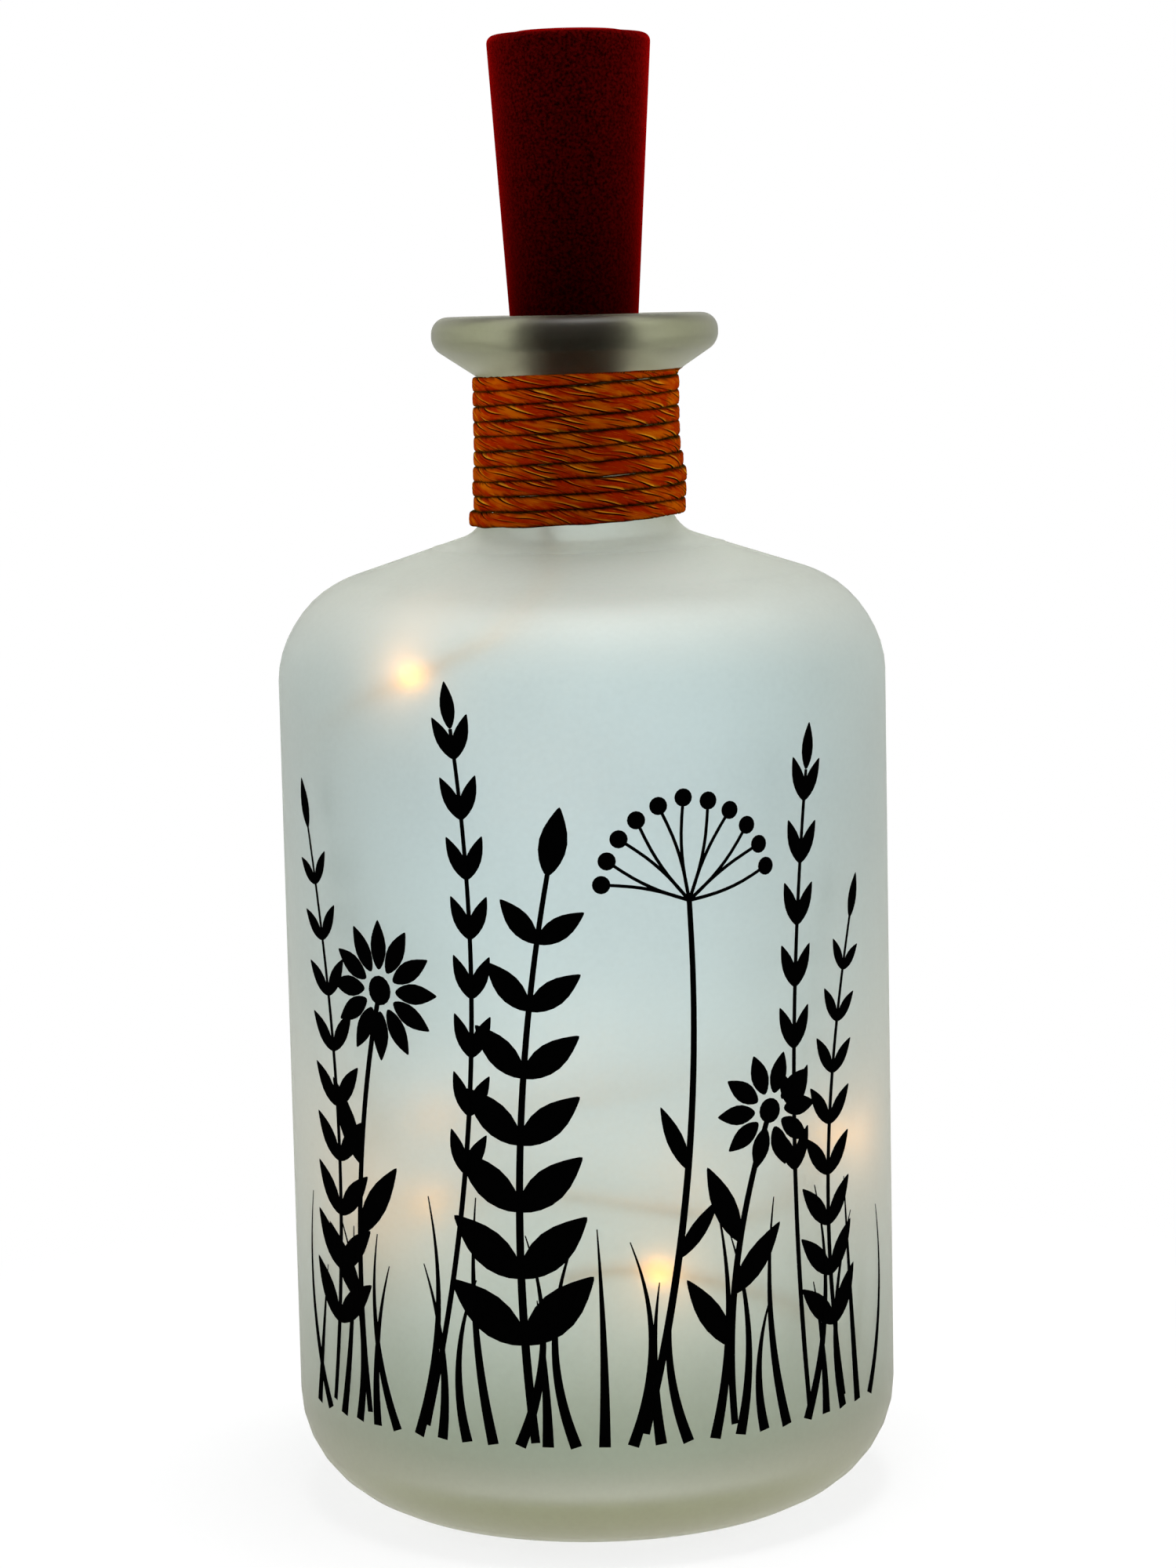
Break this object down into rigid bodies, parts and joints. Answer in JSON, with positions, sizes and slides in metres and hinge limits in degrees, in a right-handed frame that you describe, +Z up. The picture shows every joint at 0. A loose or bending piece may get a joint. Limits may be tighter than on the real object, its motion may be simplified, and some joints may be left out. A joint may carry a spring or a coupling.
{
  "type": "cork bottle light",
  "caption": "Frosted glass bottle with a flared lip, a twine-wound neck and a tapered cork-shaped battery stopper that lifts out with its string of small lights.",
  "frame": {"origin": "middle of the face that the bottle stands on", "axes": "+Z up along the bottle's axis, -Y towards the front"},
  "size_m": [0.081, 0.081, 0.1955],
  "materials": {
    "frosted_glass": "satin frosted, translucent",
    "paper_twine": "twisted brown paper cord",
    "dark_plastic": "dark maroon, satin",
    "cradle_plastic": "ivory moulding",
    "switch_plastic": "black",
    "grommet": "black rubber",
    "contact_metal": "nickel-tinted brass",
    "cell_steel": "polished steel can",
    "board": "green circuit board",
    "resistor": "black chip",
    "wire": "enamelled copper",
    "clear_resin": "clear resin drop",
    "led_chip": "warm white emitter"
  },
  "bodies": {
    "bottle": {"glass_bottle": "frosted_glass", "twine_wrap": "paper_twine", "string_wire": "wire", "led_chips": "led_chip", "led_drop_01": "clear_resin", "led_drop_02": "clear_resin", "led_drop_03": "clear_resin", "led_drop_04": "clear_resin", "led_drop_05": "clear_resin", "led_drop_06": "clear_resin", "led_drop_07": "clear_resin", "led_drop_08": "clear_resin", "led_drop_09": "clear_resin", "led_drop_10": "clear_resin"},
    "cork_light": {"cork_shell": "dark_plastic", "bottom_plug": "dark_plastic", "lead_grommet": "grommet", "string_lead": "wire", "inner_lead": "wire", "contact_spring": "contact_metal", "return_contact": "contact_metal", "driver_board": "board", "board_resistor": "resistor"},
    "battery_insert": {"end_cap": "dark_plastic", "battery_cradle": "cradle_plastic", "top_contact": "contact_metal", "return_strip": "contact_metal", "switch_housing": "switch_plastic", "button_cell_1": "cell_steel", "button_cell_2": "cell_steel", "button_cell_3": "cell_steel"},
    "switch_slider": {"switch_knob": "switch_plastic"}
  },
  "joints": [
    {"name": "cork_lift", "type": "slide", "parent": "bottle", "child": "cork_light", "axis": [0, 0, 1], "range_m": [0, 0.02], "deforming": ["string_lead"]},
    {"name": "insert_pull", "type": "slide", "parent": "cork_light", "child": "battery_insert", "axis": [0, 0, 1], "range_m": [0, 0.03]},
    {"name": "switch_slide", "type": "slide", "parent": "battery_insert", "child": "switch_slider", "axis": [1, 0, 0], "range_m": [0, 0.002]}
  ]
}
